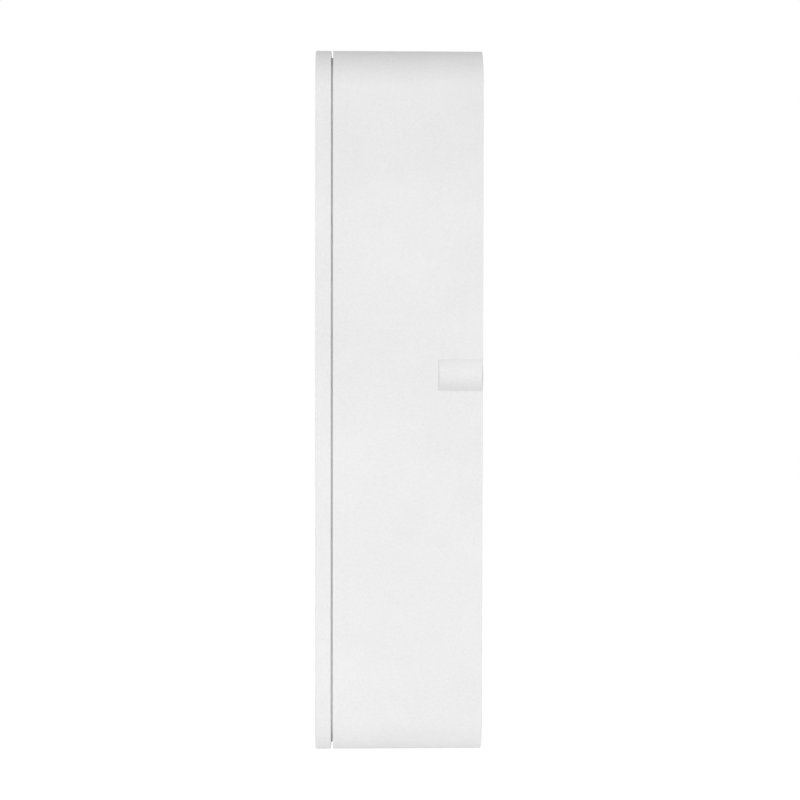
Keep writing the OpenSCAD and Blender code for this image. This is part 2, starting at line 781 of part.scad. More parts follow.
module battery_cradle() {
  half = cradle_w / 2;
  color("dimgray") difference() {
    union() {
      box([-half, cell_y + 0.4, cradle_z0 - cradle_wall], [half, cradle_back_y, cradle_z1 + cradle_wall]);
      for (z = [cradle_z0 - cradle_wall, cradle_z1])
        box([-half, chassis_back_y, z], [half, cradle_back_y, z + cradle_wall]);
      for (s = [-1, 1]) {
        box([s * tab_x - 2.8, chassis_back_y, cradle_z1 + cradle_wall / 2],
          [s * tab_x + 2.8, chassis_back_y + 1.6, cradle_z1 + cradle_wall + tab_len]);
        box([s * tab_x - 2.8, chassis_back_y, cradle_z0 - cradle_wall - tab_len],
          [s * tab_x + 2.8, chassis_back_y + 1.6, cradle_z0 - cradle_wall / 2]);
      }
    }
    for (s = [-1, 1]) {
      translate([s * cell_x, cell_y, cradle_z0]) cylinder(r = cell_r + 0.15, h = cradle_z1 - cradle_z0);
      box([s * cell_x - 4.5, cell_y + 4, cradle_z0 + 2], [s * cell_x + 4.5, cradle_back_y + cut, cradle_z1 - 2]);
      for (z = [cradle_z0 - cradle_wall - tab_len / 2, cradle_z1 + cradle_wall + tab_len / 2])
        rod_y(small_r + 0.15, chassis_back_y - cut, chassis_back_y + 1.6 + cut, s * tab_x, z);
    }
    for (z = [cradle_z0, cell_z1 - 0.5])
      box([-end_room_x, cell_y - 4.5, z], [end_room_x, cell_y + 4.5, z + cradle_room + 0.5]);
    box([lead_xs[0] - 0.8, cell_y - 6, cradle_z0 - cradle_wall - cut],
      [lead_xs[1] + 0.8, cell_y - 4, cradle_z0 + cut]);
  }
}

module battery_strips() {
  t = 0.2;
  color("silver") for (z = [cell_z0 - t, cell_z1])
    box([-12.5, cell_y - 3.5, z], [12.5, cell_y + 3.5, z + t]);
}

module protection_board() {
  color("darkgreen") box([-14, cell_y - 4, cradle_z0 + 0.1], [14, cell_y + 4, cell_z0 - 0.3]);
}

module battery_leads() {
  low = cradle_z0 - cradle_wall - 1;
  front = board_back_y + 0.55;
  color("crimson") for (x = lead_xs)
    wire([[x, cell_y - 5, cradle_z0 + 0.9], [x, cell_y - 5, low], [x, front, low],
      [x, front, board_bottom_z + 1.9]], 0.4);
}

module speaker_mesh() {
  r = speaker_r - 0.2;
  color("darkslategray") turned([[0, face_back_y], [r, face_back_y], [r, speaker_front_y],
    [r - 1, speaker_front_y], [r - 1, face_back_y + 0.2], [0, face_back_y + 0.2]], 0, speaker_z);
}

module speaker_frame() {
  r = speaker_r;
  lip = 0.6;
  color("dimgray") turned([[r - 1.4, speaker_front_y], [r, speaker_front_y], [r, chassis_front_y],
    [diaphragm_r, chassis_front_y], [diaphragm_r, chassis_front_y - lip],
    [r - 0.8, chassis_front_y - lip], [r - 0.8, speaker_front_y + lip],
    [r - 1.4, speaker_front_y + lip]], 0, speaker_z);
}

module speaker_magnet() {
  r = diaphragm_r - 0.1;
  back = chassis_front_y + 0.2;
  floor_y = chassis_front_y - 0.6;
  color("gray") turned([[0, diaphragm_y + 1], [4.1, diaphragm_y + 1], [4.1, floor_y],
    [5.4, floor_y], [5.4, diaphragm_y + 1.2], [r, diaphragm_y + 1.2], [r, back], [0, back]],
    0, speaker_z);
}

module speaker_cone() {
  back = diaphragm_y + 0.25;
  color("darkgoldenrod") turned([[0, diaphragm_y], [diaphragm_r, diaphragm_y], [diaphragm_r, back],
    [coil_r + 0.15, back], [coil_r + 0.15, back + 1.6], [coil_r - 0.15, back + 1.6],
    [coil_r - 0.15, back], [0, back]], 0, speaker_z);
}

module speaker_surround() {
  mid_r = (diaphragm_r + speaker_r - 1.3) / 2;
  roll = (speaker_r - 1.3 - diaphragm_r) / 2 - 0.1;
  color("dimgray") translate([0, diaphragm_y - 0.2, speaker_z]) rotate([-90, 0, 0])
    rotate_extrude($fn = 96) {
      translate([mid_r, 0]) intersection() {
        difference() {
          circle(r = roll);
          circle(r = roll - 0.15);
        }
        translate([-roll, -roll]) square([2 * roll, roll + 0.1]);
      }
      translate([diaphragm_r - 0.5, 0]) square([0.7, 0.2]);
      translate([speaker_r - 1.5, 0]) square([0.6, 0.2]);
    }
}

module speaker_box() {
  color("black") translate([0, 0, speaker_z]) difference() {
    box([-box_w / 2, chassis_back_y, -box_h / 2], [box_w / 2, box_back_y, box_h / 2]);
    box([-box_w / 2 + box_wall, chassis_back_y - cut, -box_h / 2 + box_wall],
      [box_w / 2 - box_wall, box_back_y - box_wall, box_h / 2 - box_wall]);
  }
}

module speaker_leads() {
  y = board_back_y + 0.5;
  x = -12.4;
  color("crimson") for (s = [-0.6, 0.6])
    wire([[-speaker_r + 0.3, y, speaker_z + 4 + s], [x + s, y, speaker_z + 4 + s],
      [x + s, y, board_bottom_z + 1.9]], 0.3);
}

module power_board() {
  mid = (power_z0 + power_z1) / 2;
  color("green") difference() {
    translate([0, 0, mid]) slab(power_w, power_z1 - power_z0, 1, power_y, power_y + power_t);
    for (p = power_screws) rod_y(small_r + 0.15, power_y - cut, power_y + power_t + cut, p[0], p[1]);
  }
}

module usb_socket() {
  z0 = -in_z + 0.1;
  shell = 0.3;
  color("silver") translate([0, usb_y, z0]) difference() {
    linear_extrude(height = usb_len) rounded(usb_w, usb_d, 1.2);
    translate([0, 0, -cut]) linear_extrude(height = usb_len - 0.6 + cut)
      difference() {
        rounded(usb_w - 2 * shell, usb_d - 2 * shell, 1);
        square([6.8, 0.7], center = true);
      }
  }
}

module usb_flap() {
  x0 = flap_x - flap_w / 2;
  inner_z = -body_h / 2 + flap_t;
  color("gainsboro") {
    box([x0, flap_axis_y - flap_len, -body_h / 2], [x0 + flap_w, flap_axis_y, inner_z]);
    translate([x0, flap_axis_y, flap_axis_z]) rotate([0, 90, 0]) cylinder(r = flap_axis_r, h = flap_w);
    translate([x0 - flap_pin_len, flap_axis_y, flap_axis_z]) rotate([0, 90, 0])
      cylinder(r = flap_pin_r, h = flap_w + 2 * flap_pin_len);
    translate([0, usb_y, inner_z - 0.3]) linear_extrude(height = 1.3) rounded(7.4, 2, 0.9);
  }
}

module reset_switch() {
  color("darkslategray") difference() {
    box([reset_x - 1.7, usb_y - 1.7, reset_switch_z], [reset_x + 1.7, power_y, reset_switch_z + 3]);
    translate([reset_x, usb_y, reset_switch_z - cut]) cylinder(r = reset_r + pin_fit, h = 1.4 + cut);
  }
}

module reset_button() {
  color("ivory") translate([reset_x, usb_y, reset_tip_z])
    cylinder(r = reset_r, h = reset_switch_z + 0.8 - reset_tip_z);
}

module tamper_switch() {
  y0 = power_y + power_t;
  h = tamper_w / 2;
  color("darkslategray") difference() {
    box([tamper_x - h, y0, tamper_z - h], [tamper_x + h, tamper_back_y, tamper_z + h]);
    rod_y(tamper_r + pin_fit, y0 + 0.6, tamper_back_y + cut, tamper_x, tamper_z);
  }
}

module tamper_plunger() {
  y0 = tamper_back_y - 1.6;
  color("ivory") rod_y(tamper_r, y0, -plate_t - fit, tamper_x, tamper_z);
}

module terminal_inserts() {
  color("gold") for (s = [-1, 1]) difference() {
    rod_y(insert_r, rear_in_y - 2.8, rear_out_y, s * terminal_x, terminal_z);
    rod_y(1.3, rear_in_y - 2.8 - cut, rear_out_y + cut, s * terminal_x, terminal_z);
  }
}

module terminal_screws() {
  color("gold") for (s = [-1, 1])
    screw(2.6, 1.5, 1.25, 4.2, s * terminal_x, rear_out_y, terminal_z, -1);
}

module wifi_antenna() {
  color("orange") box([-11, camera_board_y - 9, in_z - 0.2], [11, camera_board_y + 1, in_z]);
}

module housing_screws() {
  color("silver") for (x = [-1, 1], z = [-1, 1])
    screw(large_head_r, large_head_h, large_r, 7.5, x * pillar_x,
      rear_out_y - large_head_h - 0.1, z * pillar_z, -1);
}

module fascia_screws() {
  color("silver") for (x = [-1, 1], z = fascia_screw_zs)
    screw(large_head_r, large_head_h, large_r, 5, x * fascia_screw_x, chassis_back_y, z, -1);
}

module board_screw(x, y, z, dir, length = small_len) {
  screw(small_head_r, small_head_h, small_r, length, x, y, z, dir);
}

module board_screws() {
  color("silver") {
    for (x = [-1, 1], z = [-1, 1]) {
      board_screw(x * ir_post_x, ir_board_y, camera_z + z * ir_post_z, 1);
      board_screw(x * camera_post_x, camera_board_y + camera_board_t, camera_z + z * camera_post_z, -1);
    }
    for (x = [-1, 1], z = board_screw_zs)
      board_screw(x * board_screw_x, board_front_y, z, 1);
    for (x = [-1, 1], z = [cradle_z0 - cradle_wall - tab_len / 2, cradle_z1 + cradle_wall + tab_len / 2])
      board_screw(x * tab_x, chassis_back_y + 1.6, z, -1, 2.5);
    for (p = power_screws) board_screw(p[0], power_y, p[1], 1);
  }
}

wall_plate();
latch_springs();
rear_housing();
front_fascia();
main_gasket();
chassis();
camera_window();
lens_cover();
camera_shroud();
lens_barrel();
lens_front_element();
lens_inner_elements();
lens_holder();
image_sensor();
camera_board();
filter_coil();
ir_filter_frame();
ir_filter_glass();
camera_flex();
ir_board();
ir_leds();
light_sensor();
pir_lens();
pir_sensor();
mic_boot();
microphone();
call_button();
switch_plunger();
light_ring();
button_membrane();
button_switch();
ring_leds();
main_board();
shield_can();
board_connectors();
battery_cells();
battery_cradle();
battery_strips();
protection_board();
battery_leads();
speaker_mesh();
speaker_frame();
speaker_magnet();
speaker_cone();
speaker_surround();
speaker_box();
speaker_leads();
power_board();
usb_socket();
usb_flap();
reset_switch();
reset_button();
tamper_switch();
tamper_plunger();
terminal_inserts();
terminal_screws();
wifi_antenna();
housing_screws();
fascia_screws();
board_screws();
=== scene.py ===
# %% [markdown]
# # A slim video doorbell
#
# This lesson dresses a finished construction model of a battery doorbell. The construction comes in as a
# frame of named parts that already sit where they belong. What we add is what the eye reads: softly
# rounded edges, moulded grain, polished lenses and metal. Where a part's shape is right it only gets a
# better material. Where its bare edges would look like a drawing, a new surface takes its place.

# %% Load the frame
import math

import bmesh
import bpy
import numpy as np
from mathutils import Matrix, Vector
from mathutils.geometry import delaunay_2d_cdt


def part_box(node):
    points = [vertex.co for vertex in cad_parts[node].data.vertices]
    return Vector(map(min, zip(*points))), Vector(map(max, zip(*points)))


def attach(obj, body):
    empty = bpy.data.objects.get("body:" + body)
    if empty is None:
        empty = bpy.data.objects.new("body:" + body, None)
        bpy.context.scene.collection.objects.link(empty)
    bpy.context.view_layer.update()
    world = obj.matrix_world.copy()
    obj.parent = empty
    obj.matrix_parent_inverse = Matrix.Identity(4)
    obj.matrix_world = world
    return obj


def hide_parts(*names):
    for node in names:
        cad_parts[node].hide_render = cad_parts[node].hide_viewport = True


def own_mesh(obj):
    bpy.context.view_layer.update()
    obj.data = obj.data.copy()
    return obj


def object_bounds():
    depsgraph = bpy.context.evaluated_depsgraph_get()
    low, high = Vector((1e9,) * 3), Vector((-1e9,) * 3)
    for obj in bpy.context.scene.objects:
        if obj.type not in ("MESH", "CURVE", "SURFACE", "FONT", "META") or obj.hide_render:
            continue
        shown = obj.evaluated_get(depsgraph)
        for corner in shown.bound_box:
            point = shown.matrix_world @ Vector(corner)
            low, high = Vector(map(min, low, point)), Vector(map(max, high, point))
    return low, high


MM = 0.001
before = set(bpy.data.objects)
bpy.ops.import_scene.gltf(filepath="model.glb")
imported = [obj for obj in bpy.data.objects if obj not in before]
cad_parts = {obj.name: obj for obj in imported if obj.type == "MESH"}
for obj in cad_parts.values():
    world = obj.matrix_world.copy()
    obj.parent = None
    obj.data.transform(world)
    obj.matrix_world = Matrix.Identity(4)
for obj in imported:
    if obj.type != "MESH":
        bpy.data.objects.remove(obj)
cad_low, cad_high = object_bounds()
print("parts:", len(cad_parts), "size in mm:", [round(s / MM, 1) for s in cad_high - cad_low])

# %% [markdown]
# ## The camera
#
# The doorbell is seen square from its right-hand side, from 0.37 m away, with a portrait lens. Its middle
# lies a little below the lens and a little nearer the wall, so the camera is turned down and sideways by a
# degree and a half. No shift and no blur are needed. The camera comes first, because all later choices are
# judged in it.

# %% Camera
CAMERA_DISTANCE = 0.3745
CAMERA_BEHIND_FRONT = 6.75 * MM
CAMERA_HEIGHT = 10.33 * MM
CAMERA_TURN = (88.493, -0.085, 88.478)
CAMERA_LENS = 85.6
SENSOR_WIDTH = 36
NEAR_LIMIT = 0.01

camera_data = bpy.data.cameras.new("side_camera")
camera_data.lens = CAMERA_LENS
camera_data.sensor_width = SENSOR_WIDTH
camera_data.clip_start = NEAR_LIMIT
camera = bpy.data.objects.new("side_camera", camera_data)
camera.location = (cad_high.x + CAMERA_DISTANCE, cad_low.y + CAMERA_BEHIND_FRONT, CAMERA_HEIGHT)
camera.rotation_euler = [math.radians(angle) for angle in CAMERA_TURN]
bpy.context.scene.collection.objects.link(camera)
bpy.context.scene.camera = camera
print("camera at", [round(value, 3) for value in camera.location])

# %% [markdown]
# ## Colours and nodes
#
# Colours are written as sRGB hex values, the way a colour chart gives them, and one function turns them to
# the linear numbers that a shader works with. Another small function adds a node with its settings and
# links, so that each finish below reads as a short recipe. All patterns are laid on Object coordinates, so
# they are fixed to the piece and move with it.


# %% Colour helper
def linear(colour):
    """Linear RGBA of an sRGB hex colour.

    Up to 0.04045 a value v becomes v / 12.92, and above it ((v + 0.055) / 1.055) ** 2.4.
    """
    value = np.array([int(colour[i:i + 2], 16) for i in (1, 3, 5)]) / 255
    value = np.where(value <= 0.04045, value / 12.92, ((value + 0.055) / 1.055) ** 2.4)
    return (*value.tolist(), 1.0)


print("a colour chart's #ECECEB reads as", [round(value, 3) for value in linear("#ECECEB")[:3]])

# %% Node helpers
# a colour mix takes its two colours at sockets 6 and 7, and gives the result at socket 2
COLOUR_A, COLOUR_B, MIXED = 6, 7, 2


def add_node(tree, kind, inputs=None, links=None, **settings):
    """Adds one node, sets its options and its input values, and joins inputs to other sockets."""
    made = tree.nodes.new(kind)
    for name, value in settings.items():
        setattr(made, name, value)
    for name, value in (inputs or {}).items():
        made.inputs[name].default_value = value
    for name, socket in (links or {}).items():
        tree.links.new(socket, made.inputs[name])
    return made


def start_material(name, **constants):
    """A material, its surface shader with the constants set on its sockets, and its Object coordinates."""
    material = bpy.data.materials.new(name)
    material.use_nodes = True
    surface = material.node_tree.nodes["Principled BSDF"]
    for socket, value in constants.items():
        surface.inputs[socket.replace("_", " ")].default_value = value
    place = add_node(material.node_tree, "ShaderNodeTexCoord").outputs["Object"]
    return material, surface, place

# %% [markdown]
# ## Moulded finishes
#
# Most of the doorbell is injection moulded. The mould's steel is spark eroded, which leaves a fine skin of
# tiny pits that the plastic copies, so that light scatters softly and finger marks don't show. One recipe
# serves all of them, rubbers and films too: a slow drift between two near colours, pits as bump, and a
# roughness that follows the pits. Real pits are about 0.05 mm wide, too fine to show, so they are drawn
# several times as wide.


# %% Recipe for a moulded skin
# the pits raise and lower the roughness by this share
PIT_SWING = 0.15


def moulded(name, light, dark, roughness, grain, depth, drift=22.0, **constants):
    """Moulded or coated skin: pits `grain` mm wide and `depth` mm deep, colour drifting over `drift` mm.

    The two noises add up to about 1, so half is taken away and the rest is the share of the dark colour.
    """
    material, surface, place = start_material(name, **constants)
    tree = material.node_tree
    cloud = add_node(tree, "ShaderNodeTexNoise", {"Scale": 1 / (drift * MM), "Detail": 3.0},
                     {"Vector": place})
    pits = add_node(tree, "ShaderNodeTexNoise",
                    {"Scale": 1 / (grain * MM), "Detail": 3.0, "Roughness": 0.6}, {"Vector": place})
    mottle = add_node(tree, "ShaderNodeMath",
                      links={0: cloud.outputs["Fac"], 1: pits.outputs["Fac"]}, operation="ADD")
    share = add_node(tree, "ShaderNodeMath", {1: 0.5}, {0: mottle.outputs[0]}, operation="SUBTRACT",
                     use_clamp=True)
    colour = add_node(tree, "ShaderNodeMix", {COLOUR_A: linear(light), COLOUR_B: linear(dark)},
                      {0: share.outputs[0]}, data_type="RGBA")
    gloss = add_node(tree, "ShaderNodeMapRange",
                     {"To Min": (1 - PIT_SWING) * roughness, "To Max": (1 + PIT_SWING) * roughness},
                     {"Value": pits.outputs["Fac"]})
    bump = add_node(tree, "ShaderNodeBump", {"Distance": depth * MM}, {"Height": pits.outputs["Fac"]})
    tree.links.new(colour.outputs[MIXED], surface.inputs["Base Color"])
    tree.links.new(gloss.outputs[0], surface.inputs["Roughness"])
    tree.links.new(bump.outputs[0], surface.inputs["Normal"])
    return material


# %% Moulded plastics, rubbers and films
finishes = {
    # polycarbonate blend from a spark-eroded mould: an even, soft white that holds no highlight
    "white_shell": moulded("white_polycarbonate_spark_eroded", "#F4F4F4", "#E6E6E6", 0.62, 0.42, 0.02,
                           IOR=1.58),
    # glass-filled ABS as moulded: a flat mid grey with a slight mottle
    "grey_abs": moulded("grey_abs_as_moulded", "#9C9EA0", "#8E9092", 0.55, 0.3, 0.012, IOR=1.53),
    # compression-moulded silicone: very matt, near black, and dusty to the eye
    "silicone": moulded("black_silicone_moulded", "#2B2B2D", "#222224", 0.75, 0.25, 0.01, IOR=1.43),
    # unpigmented silicone: a soft translucent skin
    "silicone_clear": moulded("clear_silicone_moulded", "#DCDDDD", "#D2D4D5", 0.5, 0.3, 0.006, IOR=1.43,
                              Transmission_Weight=0.4),
    # nylon with carbon black, eroded so that it swallows stray light
    "black_plastic": moulded("black_nylon_light_trap", "#1E1E20", "#161618", 0.7, 0.22, 0.012, IOR=1.53),
    # epoxy moulding compound of a chip: dark, with the faint swirl of its filler
    "chip": moulded("epoxy_chip_package", "#2A2A2C", "#202022", 0.5, 0.15, 0.004, drift=4.0),
    # the button's cap is finer than the shell, so it looks a touch smoother and warmer
    "white_button": moulded("white_button_fine_eroded", "#EFEFEE", "#EBEBEA", 0.42, 0.25, 0.006, IOR=1.58),
    # thermoplastic elastomer of the port's flap: matt, with a soft sheen at grazing light
    "flap_rubber": moulded("white_elastomer_moulded", "#E6E6E5", "#DFDFDE", 0.7, 0.35, 0.012, IOR=1.5,
                           Sheen_Weight=0.15),
    # polyethylene of the motion lens lets light in a little way, so its ridges look milky
    "milky_lens": moulded("milky_polyethylene_ridged", "#E4E5E3", "#DCDDDB", 0.38, 0.5, 0.004, IOR=1.51,
                          Subsurface_Weight=0.35, Subsurface_Scale=0.8 * MM),
    # diffusing acrylic of the light ring, frosted in the mould: cool, bright and cloudy
    "light_guide": moulded("frosted_acrylic_light_guide", "#DDE3E6", "#D2DADE", 0.45, 0.3, 0.008, IOR=1.49,
                           Transmission_Weight=0.25, Subsurface_Weight=0.3, Subsurface_Scale=1.5 * MM),
    # vinyl insulation drawn over the wire: smooth, red and slightly glossy
    "wire_red": moulded("red_vinyl_insulation", "#B3261F", "#A11F1A", 0.35, 0.6, 0.006, IOR=1.53),
    # clear resin over a pale package
    "led": moulded("clear_resin_over_white_package", "#E9E4C4", "#DDD6B0", 0.15, 0.8, 0.003, IOR=1.54,
                   Transmission_Weight=0.35),
    # polymer film of the speaker cone, pressed: amber and faintly rippled
    "cone_film": moulded("pressed_polymer_film", "#B79F6C", "#A89160", 0.3, 1.2, 0.01, IOR=1.6),
    # amber polyimide tape and flat cable: glossy, with the weave of the copper faint beneath
    "polyimide": moulded("amber_polyimide_film", "#B8761E", "#A76818", 0.25, 0.9, 0.006, IOR=1.7),
    # shrink sleeve of the cells: a satin blue skin, pulled tight
    "cell_wrap": moulded("blue_shrink_sleeve", "#2C5E93", "#275583", 0.3, 1.6, 0.01, IOR=1.54,
                         Coat_Weight=0.3),
}
print("moulded finishes:", len(finishes))

# %% [markdown]
# ## Polished window and glass
#
# The camera looks out through a dark polished plate. Its back is printed black, but for small rounds left
# clear over the night lights, which show as faint dark-red spots. The print is worked out from the distance
# to each light, so that it stays on the plate from every side. Glass gets the index of its real kind, and a
# breath of uneven roughness as from wiping.


# %% Smoked window with clear rounds
NIGHT_LIGHT_RADIUS = 1.5 * MM
# towards a light's middle the print begins to thin at the first distance and is gone at the second
PRINT_THINS = 2.0 * MM
PRINT_GONE = 1.8 * MM


def printed_window(name):
    """Polished polycarbonate, printed black but for a clear round in front of each night light.

    The four lights lie evenly about their middle, so the distance of (|x|, |z|) from one of them serves all.
    """
    material, surface, place = start_material(name, IOR=1.5)
    tree = material.node_tree
    low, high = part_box("ir_leds")
    middle = (low + high) / 2
    centred = add_node(tree, "ShaderNodeVectorMath",
                       {1: tuple(middle)}, {0: place}, operation="SUBTRACT")
    folded = add_node(tree, "ShaderNodeVectorMath", links={0: centred.outputs[0]}, operation="ABSOLUTE")
    flat = add_node(tree, "ShaderNodeVectorMath", {1: (1.0, 0.0, 1.0)}, {0: folded.outputs[0]},
                    operation="MULTIPLY")
    light = (high.x - middle.x - NIGHT_LIGHT_RADIUS, 0.0, high.z - middle.z - NIGHT_LIGHT_RADIUS)
    away = add_node(tree, "ShaderNodeVectorMath", {1: light}, {0: flat.outputs[0]}, operation="DISTANCE")
    clear = add_node(tree, "ShaderNodeMapRange", {"From Min": PRINT_THINS, "From Max": PRINT_GONE},
                     {"Value": away.outputs["Value"]})
    wipe = add_node(tree, "ShaderNodeTexNoise", {"Scale": 1 / (9 * MM), "Detail": 4.0}, {"Vector": place})
    colour = add_node(tree, "ShaderNodeMix", {COLOUR_A: linear("#0B0B0D"), COLOUR_B: linear("#2A1214")},
                      {0: clear.outputs[0]}, data_type="RGBA")
    gloss = add_node(tree, "ShaderNodeMapRange", {"To Min": 0.03, "To Max": 0.1},
                     {"Value": wipe.outputs["Fac"]})
    bump = add_node(tree, "ShaderNodeBump", {"Distance": 0.002 * MM}, {"Height": wipe.outputs["Fac"]})
    tree.links.new(colour.outputs[MIXED], surface.inputs["Base Color"])
    tree.links.new(gloss.outputs[0], surface.inputs["Roughness"])
    tree.links.new(bump.outputs[0], surface.inputs["Normal"])
    return material


# smoked polycarbonate: near black, with a clean mirror of the room
finishes["smoked_window"] = printed_window("smoked_polycarbonate_polished_printed")
print("window finish:", finishes["smoked_window"].name)


# %% Polished glass
def polished_glass(name, tint, shade, index, **constants):
    """Ground and polished glass: clear, with roughness drifting between 0.01 and 0.05 over 5 mm."""
    material, surface, place = start_material(name, IOR=index, Transmission_Weight=1.0, **constants)
    tree = material.node_tree
    wipe = add_node(tree, "ShaderNodeTexNoise", {"Scale": 1 / (5 * MM), "Detail": 3.0}, {"Vector": place})
    colour = add_node(tree, "ShaderNodeMix", {COLOUR_A: linear(tint), COLOUR_B: linear(shade)},
                      {0: wipe.outputs["Fac"]}, data_type="RGBA")
    gloss = add_node(tree, "ShaderNodeMapRange", {"To Min": 0.01, "To Max": 0.05},
                     {"Value": wipe.outputs["Fac"]})
    tree.links.new(colour.outputs[MIXED], surface.inputs["Base Color"])
    tree.links.new(gloss.outputs[0], surface.inputs["Roughness"])
    return material


# aluminosilicate cover: water clear
finishes["clear_glass"] = polished_glass("clear_cover_glass_polished", "#FBFDFD", "#F5F9FA", 1.51)
# crown glass with a magnesium fluoride coat, which throws a violet and green gleam
finishes["coated_lens"] = polished_glass("coated_crown_glass_polished", "#AEB7DC", "#A3B2CE", 1.52,
                                         Specular_Tint=linear("#B9A0FF"), Thin_Film_Thickness=420.0,
                                         Thin_Film_IOR=1.38)
# absorbing filter glass: pale cyan, since it holds back the red end
finishes["filter_glass"] = polished_glass("cyan_filter_glass_polished", "#A8DCE2", "#9ED4DC", 1.54)
print("finishes so far:", len(finishes))

# %% [markdown]
# ## Metals
#
# Rolled strip keeps fine lines along its rolling direction, and turned brass has rings round its axis. Both
# are a noise drawn out long: squeezed along the other two axes until only streaks are left. A metal keeps
# the shader's default index, and its colour is its reflectance.


# %% Drawn and turned metal
# the streaks raise and lower the roughness by this share
STREAK_SWING = 0.25


def drawn_metal(name, light, dark, roughness, streak, stretch):
    """Metal with streaks `streak` mm wide, drawn out by the factors `stretch` along x, y and z."""
    material, surface, place = start_material(name, Metallic=1.0)
    tree = material.node_tree
    long = add_node(tree, "ShaderNodeMapping", {"Scale": [1 / (streak * MM) / s for s in stretch]},
                    {"Vector": place})
    lines = add_node(tree, "ShaderNodeTexNoise", {"Scale": 1.0, "Detail": 3.0},
                     {"Vector": long.outputs[0]})
    colour = add_node(tree, "ShaderNodeMix", {COLOUR_A: linear(light), COLOUR_B: linear(dark)},
                      {0: lines.outputs["Fac"]}, data_type="RGBA")
    gloss = add_node(tree, "ShaderNodeMapRange",
                     {"To Min": (1 - STREAK_SWING) * roughness, "To Max": (1 + STREAK_SWING) * roughness},
                     {"Value": lines.outputs["Fac"]})
    bump = add_node(tree, "ShaderNodeBump", {"Distance": 0.004 * MM}, {"Height": lines.outputs["Fac"]})
    tree.links.new(colour.outputs[MIXED], surface.inputs["Base Color"])
    tree.links.new(gloss.outputs[0], surface.inputs["Roughness"])
    tree.links.new(bump.outputs[0], surface.inputs["Normal"])
    return material


# cold-rolled stainless strip: bright, with lines along its width
finishes["spring_steel"] = drawn_metal("spring_steel_cold_rolled", "#D8D8DA", "#C4C5C8", 0.28, 0.12,
                                       (25, 1, 1))
# zinc-plated steel of screws, cans and strips: a soft grey shine
finishes["steel"] = drawn_metal("steel_zinc_plated", "#CBCCCE", "#B7B9BC", 0.35, 0.15, (6, 1, 1))
# turned brass of the wire terminals
finishes["brass"] = drawn_metal("brass_turned", "#E2BE6E", "#CFA957", 0.3, 0.12, (1, 12, 1))
# gold flashed lid of the microphone
finishes["gold_plate"] = drawn_metal("gold_flashed_lid", "#F0D08A", "#E2BF72", 0.25, 0.1, (8, 1, 1))
# enamelled copper wire, wound side by side: the streaks are its turns
finishes["copper"] = drawn_metal("copper_wire_wound", "#D98C5F", "#8F4B2B", 0.3, 0.18, (30, 30, 1))
print("metals added, finishes:", len(finishes))

# %% [markdown]
# ## Circuit boards and the acoustic mesh
#
# Solder mask is a thin green lacquer over copper tracks, so the tracks show as slightly paler, raised
# lines. A cell pattern gives runs that turn and meet as routed tracks do. The acoustic mesh is woven: two
# sets of threads, each a wave, whose taller one is on top. Its real pitch is 0.1 mm; it is drawn at 0.45 mm
# so that the weave shows.


# %% Solder mask
def solder_mask(name):
    """Green lacquer over tracks about 0.3 mm wide, which follow the edges of cells about 2 mm across."""
    material, surface, place = start_material(name, IOR=1.55, Coat_Weight=0.3, Coat_Roughness=0.15)
    tree = material.node_tree
    cells = add_node(tree, "ShaderNodeTexVoronoi", {"Scale": 1 / (2.2 * MM), "Randomness": 0.55},
                     {"Vector": place}, feature="DISTANCE_TO_EDGE", distance="EUCLIDEAN")
    track = add_node(tree, "ShaderNodeMapRange", {"From Min": 0.09, "From Max": 0.05},
                     {"Value": cells.outputs["Distance"]})
    lacquer = add_node(tree, "ShaderNodeTexNoise", {"Scale": 1 / (6 * MM)}, {"Vector": place})
    colour = add_node(tree, "ShaderNodeMix", {COLOUR_A: linear("#0F4A2B"), COLOUR_B: linear("#1F7A45")},
                      {0: track.outputs[0]}, data_type="RGBA")
    gloss = add_node(tree, "ShaderNodeMapRange", {"To Min": 0.3, "To Max": 0.45},
                     {"Value": lacquer.outputs["Fac"]})
    bump = add_node(tree, "ShaderNodeBump", {"Distance": 0.03 * MM}, {"Height": track.outputs[0]})
    tree.links.new(colour.outputs[MIXED], surface.inputs["Base Color"])
    tree.links.new(gloss.outputs[0], surface.inputs["Roughness"])
    tree.links.new(bump.outputs[0], surface.inputs["Normal"])
    return material


# epoxy lacquer, printed and cured: glossy green, with the copper showing paler through it
finishes["circuit_board"] = solder_mask("green_solder_mask_over_tracks")
print("board finish:", finishes["circuit_board"].name)


# %% Woven mesh
def woven_mesh(name, pitch):
    """Polyester threads `pitch` mm apart: the higher of two sine waves, along x and along z.

    The wave pattern repeats every pi / (10 * scale), which gives the scale for a pitch.
    """
    material, surface, place = start_material(name, IOR=1.56, Sheen_Weight=0.2)
    tree = material.node_tree
    threads = [add_node(tree, "ShaderNodeTexWave", {"Scale": math.pi / (10 * pitch * MM)},
                        {"Vector": place}, bands_direction=axis) for axis in ("X", "Z")]
    top = add_node(tree, "ShaderNodeMath", links={0: threads[0].outputs["Fac"], 1: threads[1].outputs["Fac"]},
                   operation="MAXIMUM")
    # painted sheen and shade: the colour is paler where the upper threads lie and darker in the dips between
    # them
    colour = add_node(tree, "ShaderNodeMix", {COLOUR_A: linear("#0C0C0D"), COLOUR_B: linear("#38393B")},
                      {0: top.outputs[0]}, data_type="RGBA")
    gloss = add_node(tree, "ShaderNodeMapRange", {"To Min": 0.8, "To Max": 0.5}, {"Value": top.outputs[0]})
    bump = add_node(tree, "ShaderNodeBump", {"Distance": 0.08 * MM}, {"Height": top.outputs[0]})
    tree.links.new(colour.outputs[MIXED], surface.inputs["Base Color"])
    tree.links.new(gloss.outputs[0], surface.inputs["Roughness"])
    tree.links.new(bump.outputs[0], surface.inputs["Normal"])
    return material
